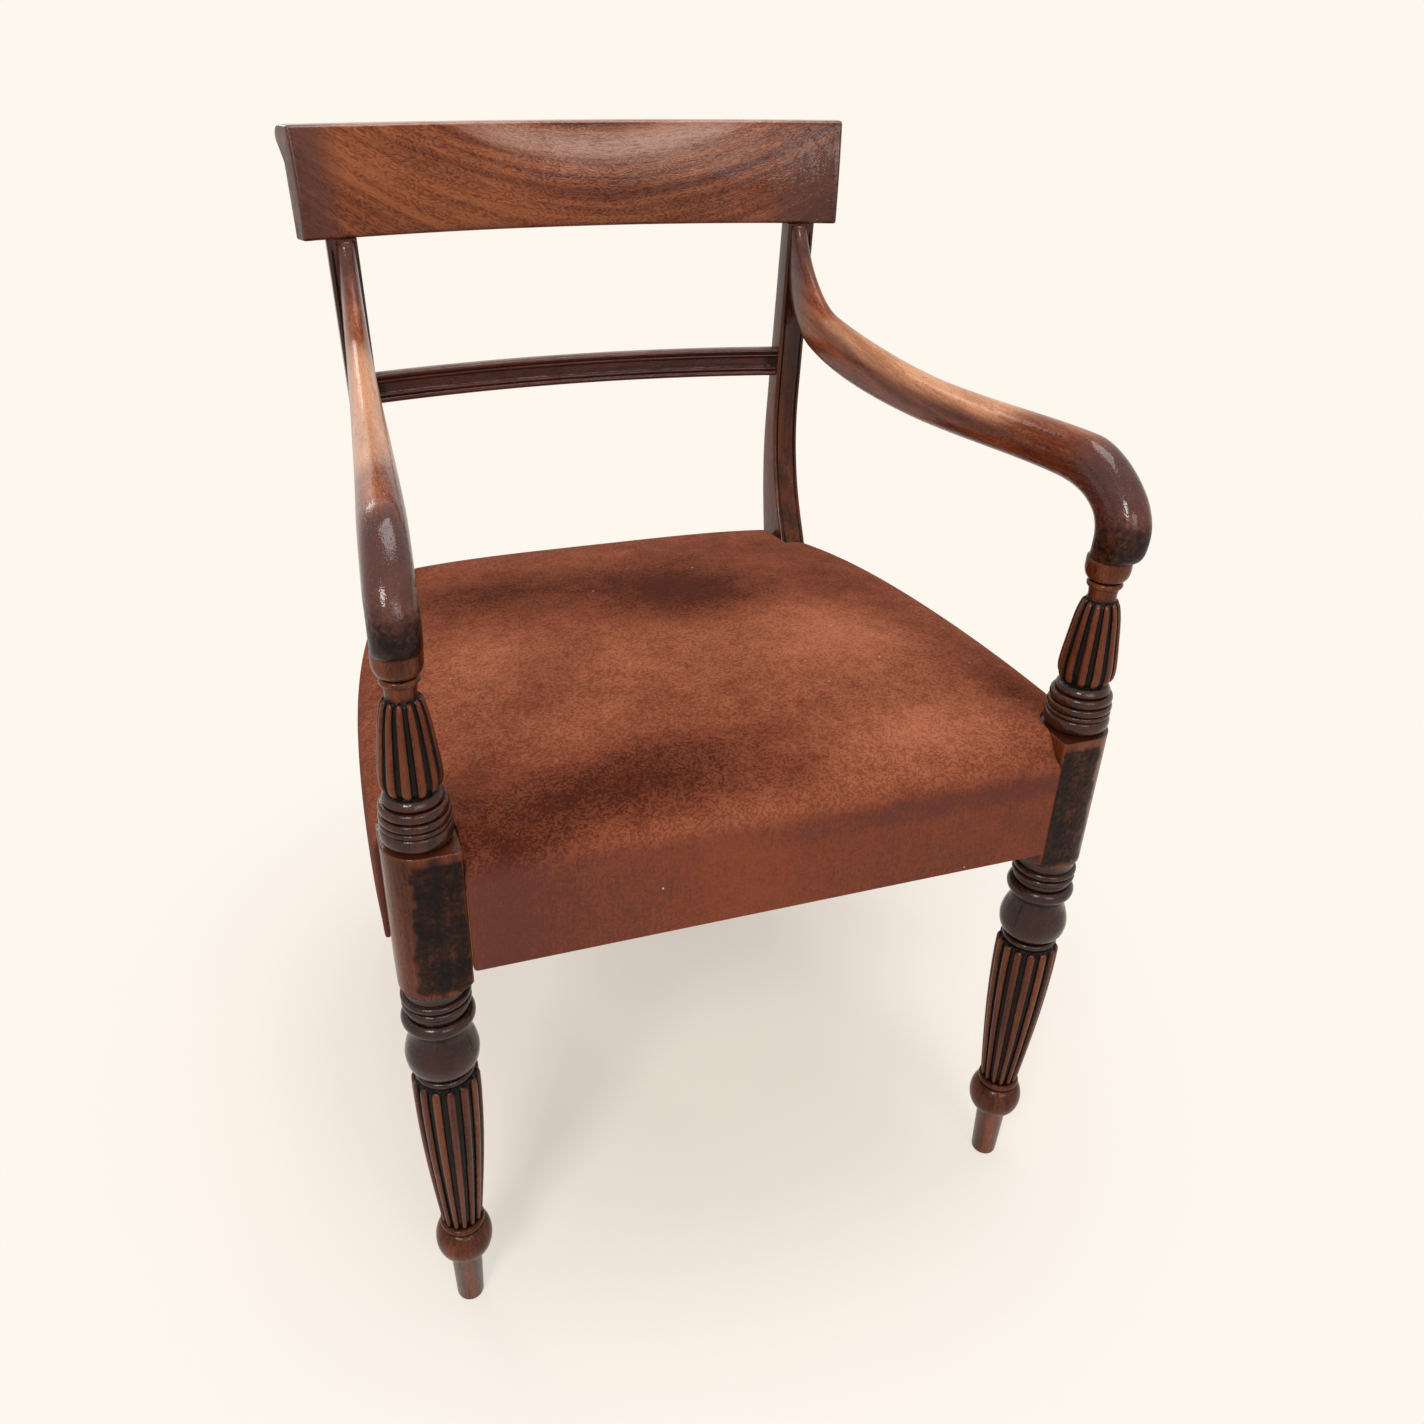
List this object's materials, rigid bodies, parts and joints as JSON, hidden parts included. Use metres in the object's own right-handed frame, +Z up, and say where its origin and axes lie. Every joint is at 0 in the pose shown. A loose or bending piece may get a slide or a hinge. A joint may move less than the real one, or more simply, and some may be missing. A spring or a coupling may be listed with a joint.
{
  "type": "open armchair",
  "caption": "Wooden open armchair with reeded turned front legs, swept-back rear legs, scrolled arms, a curved crest rail and a stuffed velvet seat.",
  "frame": {"origin": "on the floor under the middle of the whole chair", "axes": "+Z up, +X towards the right of the picture, the front of the chair faces -Y"},
  "size_m": [0.558, 0.6013, 0.86],
  "materials": {
    "mahogany": "French-polished red-brown mahogany, dark in the hollows and worn to orange-brown on the arms",
    "dark_mahogany": "dark polished mahogany",
    "beech": "plain unpolished beech",
    "velvet": "red-brown cotton velvet with a rubbed pile",
    "linen": "hair stuffing under undyed linen",
    "jute": "plain woven jute",
    "iron": "dull grey iron"
  },
  "bodies": {
    "root": {"crest_rail": "mahogany", "mid_rail": "dark_mahogany", "back_post_left": "mahogany", "back_post_right": "mahogany", "front_leg_left": "mahogany", "front_leg_right": "mahogany", "arm_left": "mahogany", "arm_right": "mahogany", "seat_rail_front": "beech", "seat_rail_back": "beech", "seat_rail_left": "beech", "seat_rail_right": "beech", "corner_block_front_left": "beech", "corner_block_front_right": "beech", "corner_block_back_left": "beech", "corner_block_back_right": "beech", "corner_block_screws": "iron", "arm_screws": "iron", "arm_screw_plugs": "dark_mahogany", "webbing_front_to_back": "jute", "webbing_side_to_side": "jute", "webbing_tacks": "iron", "hessian": "jute", "seat_stuffing": "linen", "seat_cover": "velvet", "cover_tacks": "iron"}
  },
  "joints": []
}
